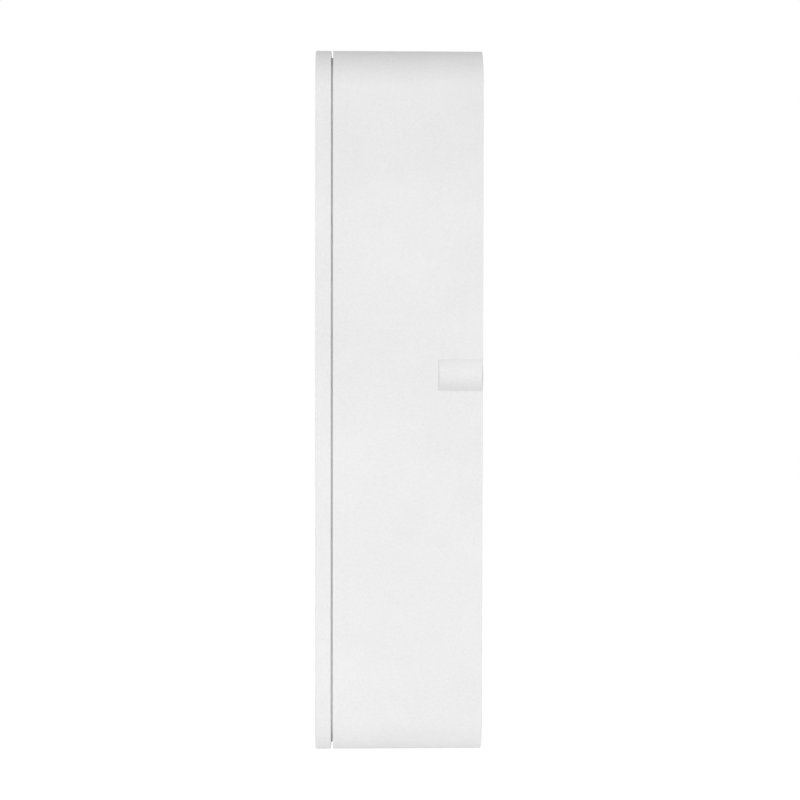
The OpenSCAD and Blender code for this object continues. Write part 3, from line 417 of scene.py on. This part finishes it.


# woven polyester, dyed black and dull; painted sheen on the upper threads, painted shade in the dips
finishes["acoustic_mesh"] = woven_mesh("woven_polyester_mesh", pitch=0.45)
print("all finishes:", len(finishes))

# %% [markdown]
# ## Surfaces from a profile and an outline
#
# Nearly every shape here is one idea: a profile carried round a rounded rectangle. A circle is the same
# thing with its four corner centres in one point, so lenses, the button and the ring come from the same
# function. Flat faces are filled between those rings. All lengths are in millimetres until the mesh is
# made.


# %% Profile helpers
def soften(points, radii, steps=5):
    """Rounds the corners of an open profile.

    A corner p becomes the curve (1 - t)^2 a + 2 t (1 - t) p + t^2 b, where a and b lie on its two sides,
    one radius away from it.
    """
    points = np.asarray(points, float)
    t = np.linspace(0, 1, steps)[:, None]
    rounded = [points[:1]]
    for before, corner, after, radius in zip(points, points[1:], points[2:], radii):
        start = corner + radius * (before - corner) / np.linalg.norm(before - corner)
        end = corner + radius * (after - corner) / np.linalg.norm(after - corner)
        rounded.append((1 - t) ** 2 * start + 2 * t * (1 - t) * corner + t ** 2 * end)
    return np.concatenate([*rounded, points[-1:]])


def carry(profile, centre, width, height=None, radius=None, steps=8):
    """Points of a profile of (inset, y) carried round a rounded rectangle, as a grid of rings.

    The angle a runs once round. A point is the centre of the corner that a belongs to, plus
    (radius - inset) * (cos a, sin a), at the profile's own y. Without a height it is a circle.
    """
    height = width if height is None else height
    radius = width / 2 if radius is None else radius
    quarter = np.linspace(0, np.pi / 2, steps + 1)
    angle = (np.arange(4)[:, None] * np.pi / 2 + quarter).ravel()
    side = np.repeat([[1, 1], [-1, 1], [-1, -1], [1, -1]], steps + 1, axis=0)
    corner = side * [width / 2 - radius, height / 2 - radius]
    inset, y = np.asarray(profile, float).T
    reach = (radius - inset)[:, None]
    x = centre[0] + corner[:, 0] + reach * np.cos(angle)
    z = centre[2] + corner[:, 1] + reach * np.sin(angle)
    return np.stack([x, np.broadcast_to(y[:, None], x.shape), z], axis=-1)


def ring_faces(rings):
    """Four-sided faces between each ring of a grid and the next, closed round the ring."""
    rows, columns = rings.shape[:2]
    row, column = np.meshgrid(np.arange(rows - 1), np.arange(columns), indexing="ij")
    after = (column + 1) % columns
    corners = [row * columns + column, row * columns + after,
               (row + 1) * columns + after, (row + 1) * columns + column]
    return rings.reshape(-1, 3), np.stack(corners, axis=-1).reshape(-1, 4)


# %% Flat faces with holes
# distances, in millimetres, within which points count as one: along a ring, and for the triangles
SAME_POINT = 1e-6
NEAREST_POINTS = 1e-5
# the kind of result that holds only the triangles inside the outlines
TRIANGLES_INSIDE = 1


def within(points, ring):
    """True for each flat point inside a convex ring: it lies on the same side of all of the ring's edges."""
    edge = np.roll(ring, -1, axis=0) - ring
    to_point = points[:, None] - ring[None]
    turn = edge[:, 0] * to_point[..., 1] - edge[:, 1] * to_point[..., 0]
    return (turn > 0).all(axis=1) | (turn < 0).all(axis=1)


def flat_face(outline, holes):
    """Triangles of a flat face at the outline's y, with a hole inside each of the other rings.

    They are Delaunay triangles of all of the rings' points, less those whose middle is inside a hole.
    """
    rings = []
    for ring in (outline, *holes):
        step = np.linalg.norm(ring - np.roll(ring, 1, axis=0), axis=1)
        rings.append(ring[step > SAME_POINT][:, [0, 2]])
    starts = np.cumsum([0] + [len(ring) for ring in rings])
    edges = [[start + i, start + (i + 1) % len(ring)]
             for start, ring in zip(starts, rings) for i in range(len(ring))]
    corners = [Vector(point) for point in np.concatenate(rings)]
    made = delaunay_2d_cdt(corners, edges, [], TRIANGLES_INSIDE, NEAREST_POINTS)
    points, triangles = np.array(made[0]), np.array(made[2])
    middle = points[triangles].mean(axis=1)
    in_hole = np.zeros(len(triangles), bool)
    for ring in rings[1:]:
        in_hole |= within(middle, ring)
    y = np.full(len(points), outline[0, 1])
    return np.c_[points[:, 0], y, points[:, 1]], triangles[~in_hole]


# %% From patches to a piece
# corners this close become one, which closes the seams between patches
WELD = 0.001 * MM


def finish_piece(name, mesh, body, nodes, slot, crease=32.0):
    """Links a mesh as a piece on its body, smooth but for edges sharper than `crease` degrees."""
    mesh.polygons.foreach_set("use_smooth", np.ones(len(mesh.polygons), bool))
    mesh.set_sharp_from_angle(angle=math.radians(crease))
    mesh.materials.clear()
    mesh.materials.append(finishes[slot])
    piece = bpy.data.objects.new(name, mesh)
    bpy.context.scene.collection.objects.link(piece)
    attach(piece, body)
    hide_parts(*nodes)
    return piece


def make_piece(name, patches, body, nodes, slot):
    """One closed mesh from patches of points in millimetres and their faces, welded and facing outwards."""
    points = np.concatenate([patch[0] for patch in patches]) * MM
    starts = np.cumsum([0] + [len(patch[0]) for patch in patches])
    faces = [face for start, patch in zip(starts, patches) for face in (patch[1] + start).tolist()]
    mesh = bpy.data.meshes.new(name)
    mesh.from_pydata(points, [], faces)
    work = bmesh.new()
    work.from_mesh(mesh)
    bmesh.ops.remove_doubles(work, verts=work.verts, dist=WELD)
    bmesh.ops.recalc_face_normals(work, faces=work.faces)
    open_edges = sum(len(edge.link_faces) != 2 for edge in work.edges)
    work.to_mesh(mesh)
    work.free()
    print(name, "faces", len(mesh.polygons), "open edges", open_edges)
    finish_piece(name, mesh, body, nodes, slot)


def extent(node):
    """Lowest corner, highest corner and middle of a CAD part, in millimetres."""
    low, high = (np.array(corner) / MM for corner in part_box(node))
    return low, high, (low + high) / 2


# %% [markdown]
# ## Front fascia
#
# The fascia is the thin plate that a visitor sees. Its outer edge is rounded by about a third of a
# millimetre, which from the side is the soft line along the front. It has a recess for the camera window,
# and holes for the light ring, the motion lens, the microphone and the speaker slots. At its back stand four
# bosses for screws. Each hole and boss is its own small profile, and one filled face joins the holes at the
# front, and another joins holes and bosses at the back.

# %% The fascia and what sits in it
fascia_low, fascia_high, fascia_mid = extent("front_fascia")
window_low, window_high, window_mid = extent("camera_window")
ring_low, ring_high, ring_mid = extent("light_ring")
motion_low, motion_high, motion_mid = extent("pir_lens")
microphone_mid = extent("mic_boot")[2]
speaker_low, _, speaker_mid = extent("speaker_mesh")
screws_low, screws_high, _ = extent("fascia_screws")

# clearance round a part in its hole, and how far the rings reach out behind the face
FIT = 0.1
RING_FLANGE = 1.5
FRONT = fascia_low[1]
FACE_BACK = speaker_low[1]
BOSS_END = fascia_high[1]
ring_width = ring_high[0] - ring_low[0] - 2 * RING_FLANGE
motion_width = motion_high[0] - motion_low[0] - 2 * RING_FLANGE
print("fascia's face, mm thick:", round(FACE_BACK - FRONT, 2))

# %% [markdown]
# Each profile is a list of (inset, y), and the list after it holds the radius of each of its corners. It
# starts and ends with a short run on a flat face, which only has to leave room for the corner beside it.

# %% Fascia's edge
EDGE_DEPTH = 3.1
EDGE_ROUND = 0.36
CORNER = 7.8
RIM_WALL = 1.3

width, _, height = fascia_high - fascia_low
edge_back = FRONT + EDGE_DEPTH
outer = soften([(1.0, FRONT), (0, FRONT), (0, edge_back), (RIM_WALL, edge_back), (RIM_WALL, FACE_BACK),
                (RIM_WALL + 0.6, FACE_BACK)], [EDGE_ROUND, 0.06, 0.06, 0.2], steps=7)
outer = carry(outer, fascia_mid, width, height, CORNER, steps=16)
print("edge rings:", len(outer), "points in each:", outer.shape[1])

# %% Recess for the camera window
WINDOW_CORNER = 6.0
LEDGE = 1.2

window_size = (window_high - window_low)[[0, 2]]
recess = soften([(-0.4, FRONT), (0, FRONT), (0, window_high[1]), (LEDGE + FIT, window_high[1]),
                 (LEDGE + FIT, FACE_BACK), (LEDGE - 0.2, FACE_BACK)], [0.12, 0.05, 0.08, 0.08])
holes = [carry(recess, window_mid, *window_size + 2 * FIT, WINDOW_CORNER + FIT, steps=12)]

# %% Round holes and speaker slots
MICROPHONE_HOLE = 1.2
SLOT_SIZE = (12.0, 1.2)
SLOT_CORNER = 0.42 * SLOT_SIZE[1]
SLOT_PITCH = 2.6
SLOT_ROWS = np.arange(5) - 2

through = soften([(-0.25, FRONT), (0, FRONT), (0, FACE_BACK), (-0.2, FACE_BACK)], [0.12, 0.08])
holes.append(carry(through, ring_mid, ring_width + 2 * FIT, steps=24))
holes.append(carry(through, motion_mid, motion_width + 2 * FIT, steps=16))
holes.append(carry(through, microphone_mid, MICROPHONE_HOLE))
for row in SLOT_ROWS:
    holes.append(carry(through, speaker_mid + [0, 0, row * SLOT_PITCH], *SLOT_SIZE, SLOT_CORNER))
print("holes in the face:", len(holes))

# %% Screw bosses and the whole fascia
BOSS_RADIUS = 2.2
PILOT_RADIUS = 1.0
PILOT_FLOOR = FACE_BACK + 0.8
SCREW_HEAD_RADIUS = 1.9

boss_wall = BOSS_RADIUS - PILOT_RADIUS
boss = soften([(-0.2, FACE_BACK), (0, FACE_BACK), (0, BOSS_END), (boss_wall, BOSS_END),
               (boss_wall, PILOT_FLOOR), (BOSS_RADIUS, PILOT_FLOOR)], [0.2, 0.1, 0.1, 0.05])
bosses = [carry(boss, (x, 0, z), 2 * BOSS_RADIUS)
          for x in (screws_low[0] + SCREW_HEAD_RADIUS, screws_high[0] - SCREW_HEAD_RADIUS)
          for z in (screws_low[2] + SCREW_HEAD_RADIUS, screws_high[2] - SCREW_HEAD_RADIUS)]

front_face = flat_face(outer[0], [hole[0] for hole in holes])
back_face = flat_face(outer[-1], [hole[-1] for hole in holes] + [boss[0] for boss in bosses])
make_piece("fascia_shell", [front_face, back_face, *map(ring_faces, [outer, *holes, *bosses])],
           "doorbell", ["front_fascia"], "white_shell")

# %% [markdown]
# ## Rear housing, wall plate and flap
#
# These shells carry many small openings: scoops, latch pockets, screw wells and the charging port. Their
# construction is exact, so rebuilding them would only risk it. A copy is welded, its flat triangles are
# joined, and a bevel rounds each edge by a tenth of a millimetre or so, as a mould's worn edge would. That
# is enough for the edges to catch the light.


# %% Softened copies
# a construction mesh is loose triangles: corners this close are joined, and faces this near to level
COPY_WELD = 0.002 * MM
FLAT_ANGLE = math.radians(0.3)


def softened_copy(node, name, body, slot, radius, crease=28.0):
    """A welded copy of a CAD part whose edges sharper than `crease` degrees are rounded by `radius` mm."""
    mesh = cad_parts[node].data.copy()
    mesh.name = name
    for attribute in [a.name for a in mesh.attributes if a.name == "custom_normal"]:
        mesh.attributes.remove(mesh.attributes[attribute])
    work = bmesh.new()
    work.from_mesh(mesh)
    bmesh.ops.remove_doubles(work, verts=work.verts, dist=COPY_WELD)
    bmesh.ops.dissolve_limit(work, angle_limit=FLAT_ANGLE, verts=work.verts, edges=work.edges)
    work.to_mesh(mesh)
    work.free()
    piece = finish_piece(name, mesh, body, [node], slot, crease)
    edges = piece.modifiers.new("rounded_edges", "BEVEL")
    edges.width = radius * MM
    edges.segments = 2
    edges.limit_method = "ANGLE"
    edges.angle_limit = math.radians(crease)
    edges.harden_normals = True
    edges.use_clamp_overlap = True
    print(name, "faces before rounding", len(mesh.polygons))


softened_copy("rear_housing", "rear_shell", "doorbell", "white_shell", radius=0.1)
softened_copy("wall_plate", "wall_carrier", "wall_mount", "grey_abs", radius=0.12)
softened_copy("usb_flap", "port_flap", "port_flap", "flap_rubber", radius=0.15)

# %% [markdown]
# ## Camera window and lenses
#
# The window is a plate with a round hole, in which the clear cover sits flush. Behind it the first lens
# element bulges towards the visitor. Its dome is part of a sphere, so its depth at each radius comes from
# the sphere's formula, and its reflections are the right shape.

# %% Window plate and cover
COVER_WIDTH = 16.8
window = soften([(1.0, window_low[1]), (0, window_low[1]), (0, window_high[1]), (1.0, window_high[1])],
                [0.22, 0.1])
window = carry(window, window_mid, *window_size, WINDOW_CORNER, steps=12)
bore = soften([(-0.4, window_low[1]), (0, window_low[1]), (0, window_high[1]), (-0.4, window_high[1])],
              [0.1, 0.1])
bore = carry(bore, window_mid, COVER_WIDTH + 2 * FIT, steps=20)
make_piece("window_plate", [flat_face(window[0], [bore[0]]), flat_face(window[-1], [bore[-1]]),
                            ring_faces(window), ring_faces(bore)],
           "doorbell", ["camera_window"], "smoked_window")

cover_low, cover_high, cover_mid = extent("lens_cover")
cover = soften([(COVER_WIDTH / 2, cover_low[1]), (0, cover_low[1]), (0, cover_high[1]),
                (COVER_WIDTH / 2, cover_high[1])], [0.2, 0.1])
make_piece("cover_glass", [ring_faces(carry(cover, cover_mid, COVER_WIDTH, steps=20))],
           "doorbell", ["lens_cover"], "clear_glass")

# %% Domed front lens
lens_low, lens_high, lens_mid = extent("lens_front_element")
DOME = 9.0
# at a distance r from the axis, a sphere of radius DOME lies DOME - sqrt(DOME ** 2 - r ** 2) behind its top
lens_radius = (lens_high[0] - lens_low[0]) / 2
reach = lens_radius * np.linspace(0, 1, 18)
dome = np.c_[lens_radius - reach, lens_low[1] + DOME - np.sqrt(DOME ** 2 - reach ** 2)]
lens = np.concatenate([dome, [(0, lens_high[1]), (lens_radius, lens_high[1])]])
make_piece("front_lens", [ring_faces(carry(lens, lens_mid, 2 * lens_radius, steps=20))],
           "doorbell", ["lens_front_element"], "coated_lens")

# %% [markdown]
# ## Motion lens
#
# The motion sensor looks through a thin polyethylene disc with ridges, each one a slice of a lens laid
# flat. The ridges are real: the profile is a saw, whose teeth fall back 0.16 mm over each 0.55 mm and then
# step forward again. Light catches them as fine rings.

# %% Motion lens
RIDGE_PITCH = 0.55
RIDGE_DEPTH = 0.16
RIDGE_STEP = 0.05
FLAT_EDGE = 0.9
MOTION_WALL = 0.8

motion_radius = motion_width / 2
motion_inside_y = motion_low[1] + MOTION_WALL
crest = RIDGE_PITCH * np.arange(int((motion_radius - FLAT_EDGE) / RIDGE_PITCH))
root = crest + RIDGE_PITCH - RIDGE_STEP
saw = np.stack([np.c_[crest, 0 * crest], np.c_[root, RIDGE_DEPTH + 0 * root]], axis=1).reshape(-1, 2)
saw = np.c_[motion_radius - saw[:, 0], motion_low[1] + saw[:, 1]]
skirt = soften([(FLAT_EDGE, motion_low[1]), (0, motion_low[1]), (0, FACE_BACK), (-RING_FLANGE, FACE_BACK),
                (-RING_FLANGE, motion_high[1]), (MOTION_WALL, motion_high[1]),
                (MOTION_WALL, motion_inside_y), (motion_radius, motion_inside_y)],
               [0.15, 0.05, 0.05, 0.1, 0.1, 0.2])
motion = np.concatenate([saw, skirt])
make_piece("motion_lens", [ring_faces(carry(motion, motion_mid, motion_width, steps=20))],
           "doorbell", ["pir_lens"], "milky_lens")

# %% [markdown]
# ## Call button and light ring
#
# The cap is dished, so that a finger finds its middle without looking. At a distance r from the axis the
# dish is 0.55 (1 - (r / R)^2)^1.5 mm deep, so it meets its rim level, without a crease. Below it the cap
# keeps the flange, the wall and the stem of the construction. The ring round it is a frosted light guide
# with well rounded edges.

# %% Call button
button_low, button_high, button_mid = extent("call_button")
DISH_DEPTH = 0.55
RIM_WIDTH = 1.3
CAP_THICKNESS = 1.45
CAP_FLANGE = 0.8
CAP_WALL = 0.8
FLANGE_DEPTH = 1.75
FLANGE_THICKNESS = 0.6
STEM_RADIUS = 2.0

cap_radius = (button_high[0] - button_low[0]) / 2 - CAP_FLANGE
dish_radius = cap_radius - RIM_WIDTH
stem_inset = cap_radius - STEM_RADIUS
flange_y = FRONT + FLANGE_DEPTH
flange_back_y = flange_y + FLANGE_THICKNESS
inside_y = button_low[1] + CAP_THICKNESS
reach = dish_radius * np.linspace(0, 1, 22)
dish = np.c_[cap_radius - reach, button_low[1] + DISH_DEPTH * (1 - (reach / dish_radius) ** 2) ** 1.5]
cap = soften([(cap_radius - dish_radius, button_low[1]), (0, button_low[1]), (0, flange_y),
              (-CAP_FLANGE, flange_y), (-CAP_FLANGE, flange_back_y), (CAP_WALL, flange_back_y),
              (CAP_WALL, inside_y), (stem_inset, inside_y), (stem_inset, button_high[1]),
              (cap_radius, button_high[1])], [0.4, 0.1, 0.1, 0.1, 0.1, 0.2, 0.2, 0.15])
cap = np.concatenate([dish[:-1], cap])
make_piece("button_cap", [ring_faces(carry(cap, button_mid, 2 * cap_radius, steps=24))],
           "button", ["call_button"], "white_button")

# %% Light ring
RUN_GAP = 0.3
RING_STEP_DEPTH = 1.6
RING_ROUND = 0.35

bore_inset = ring_width / 2 - cap_radius - RUN_GAP
step_inset = bore_inset - CAP_FLANGE
step_y = FRONT + RING_STEP_DEPTH
ring_profile = soften([(bore_inset / 2, ring_low[1]), (0, ring_low[1]), (0, FACE_BACK),
                       (-RING_FLANGE, FACE_BACK), (-RING_FLANGE, ring_high[1]),
                       (step_inset, ring_high[1]), (step_inset, step_y), (bore_inset, step_y),
                       (bore_inset, ring_low[1]), (bore_inset / 2, ring_low[1])],
                      [RING_ROUND, 0.05, 0.05, 0.1, 0.1, 0.1, 0.1, RING_ROUND])
make_piece("ring_light", [ring_faces(carry(ring_profile, ring_mid, ring_width, steps=24))],
           "doorbell", ["light_ring"], "light_guide")

# %% [markdown]
# ## Soft rings that give way
#
# Two thin silicone rings are held at their outer edge and pushed at their inner one: the membrane that
# seals the button, and the surround that carries the speaker's cone. Each is a welded copy of its
# construction with a mesh of its own, on the doorbell's body, and keeps its full shape.


# %% Membrane and speaker surround
def yielding_ring(node, name, slot):
    """A welded copy of a CAD ring, with a mesh of its own, on the doorbell's body.
    """
    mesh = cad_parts[node].data.copy()
    mesh.name = name
    work = bmesh.new()
    work.from_mesh(mesh)
    bmesh.ops.remove_doubles(work, verts=work.verts, dist=COPY_WELD)
    work.to_mesh(mesh)
    work.free()
    piece = finish_piece(name, mesh, "doorbell", [node], slot)
    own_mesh(piece)


yielding_ring("button_membrane", "seal_membrane", "silicone_clear")
yielding_ring("speaker_surround", "cone_surround", "silicone")

# %% [markdown]
# ## Everything else keeps its shape
#
# Boards, screws, springs, cells and the speaker are right as constructed. Each carries the name of its
# finish in the record, so one loop hands out the materials.

# %% Materials for the remaining parts
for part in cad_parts.values():
    slot = part.data.materials[0].name
    part.material_slots[0].material = finishes[slot]
print("parts that keep their shape:", sum(not part.hide_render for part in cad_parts.values()))

# %% [markdown]
# ## Floor, world and lights
#
# The doorbell hangs in the air here, well above a plain pale floor. The floor takes the shadow, and for the
# camera, and for what mirrors and glass show, it is lifted to white. The world does the same: it is white to
# the camera, and a dimmer, even sky for the object. Four soft boxes add shape: one at each side, a little
# below the middle, one in front and one behind. They are weak enough that white plastic stays below white.
# Distances here are in metres, and strengths in watts.

# %% Pale floor
WHITE = (1, 1, 1, 1)
FLOOR_DROP = 0.38
FLOOR_HALF = 6.0
FLOOR_LIFT = 0.55
SEEN_RAYS = ("Is Camera Ray", "Is Glossy Ray", "Is Transmission Ray")


def seen_directly(tree):
    """1 for rays from the camera, or from a mirror or glass, and 0 for the light that falls on things."""
    path = add_node(tree, "ShaderNodeLightPath")
    either = add_node(tree, "ShaderNodeMath", links={0: path.outputs[SEEN_RAYS[0]],
                                                     1: path.outputs[SEEN_RAYS[1]]}, operation="MAXIMUM")
    return add_node(tree, "ShaderNodeMath", links={0: either.outputs[0], 1: path.outputs[SEEN_RAYS[2]]},
                    operation="MAXIMUM").outputs[0]


floor_mesh = bpy.data.meshes.new("studio_floor")
square = np.array([[-1, -1, 0], [1, -1, 0], [1, 1, 0], [-1, 1, 0]])
corners = FLOOR_HALF * square + [0, 0, cad_low.z - FLOOR_DROP]
floor_mesh.from_pydata(corners, [], [[0, 1, 2, 3]])
floor = bpy.data.objects.new("studio_floor", floor_mesh)
bpy.context.scene.collection.objects.link(floor)

pale, pale_surface, pale_place = start_material("pale_painted_floor", Roughness=0.9)
paint = add_node(pale.node_tree, "ShaderNodeTexNoise", {"Scale": 3.0}, {"Vector": pale_place})
tone = add_node(pale.node_tree, "ShaderNodeMix", {COLOUR_A: linear("#F2F2F2"), COLOUR_B: linear("#EEEEEE")},
                {0: paint.outputs["Fac"]}, data_type="RGBA")
lift = add_node(pale.node_tree, "ShaderNodeEmission", {"Color": (FLOOR_LIFT, FLOOR_LIFT, FLOOR_LIFT, 1)},
                {"Strength": seen_directly(pale.node_tree)})
both = add_node(pale.node_tree, "ShaderNodeAddShader", links={0: pale_surface.outputs[0],
                                                              1: lift.outputs[0]})
pale.node_tree.links.new(tone.outputs[MIXED], pale_surface.inputs["Base Color"])
pale.node_tree.links.new(both.outputs[0], pale.node_tree.nodes["Material Output"].inputs["Surface"])
floor_mesh.materials.append(pale)
print("floor below the doorbell, m:", FLOOR_DROP)

# %% World
SKY = "#C4C4C4"
world = bpy.data.worlds.new("soft_studio")
world.use_nodes = True
sky = world.node_tree.nodes["Background"]
view_white = add_node(world.node_tree, "ShaderNodeMix", {COLOUR_A: linear(SKY), COLOUR_B: WHITE},
                      {0: seen_directly(world.node_tree)}, data_type="RGBA")
world.node_tree.links.new(view_white.outputs[MIXED], sky.inputs["Color"])
bpy.context.scene.world = world
print("sky for the object:", round(linear(SKY)[0], 3))


# %% Soft boxes
SIDE_DISTANCE = 0.55
SIDE_OFFSET = -0.06
SIDE_SIZE = 0.28
SIDE_WATTS = 1.17
END_DISTANCE = 0.7
END_HEIGHT = 0.1
END_SIZE = 0.5
FRONT_WATTS = 0.72
REAR_WATTS = 0.8


def soft_box(name, location, size, watts):
    """A square lamp of `size` metres that faces the doorbell's middle."""
    lamp = bpy.data.lights.new(name, "AREA")
    lamp.size = size
    lamp.energy = watts
    made = bpy.data.objects.new(name, lamp)
    made.location = location
    made.rotation_euler = (-Vector(location)).to_track_quat("-Z", "Y").to_euler()
    bpy.context.scene.collection.objects.link(made)


for side in (1, -1):
    soft_box(f"side_box_{side:+d}", (SIDE_DISTANCE * side, SIDE_OFFSET, SIDE_OFFSET), SIDE_SIZE, SIDE_WATTS)
soft_box("front_box", (0.0, -END_DISTANCE, END_HEIGHT), END_SIZE, FRONT_WATTS)
soft_box("rear_box", (0.0, END_DISTANCE, END_HEIGHT), END_SIZE, REAR_WATTS)

# %% [markdown]
# ## Colour
#
# The view is plain sRGB, so the white of the shell comes out as its own white.

# %% View and the end
bpy.context.scene.view_settings.view_transform = "Standard"
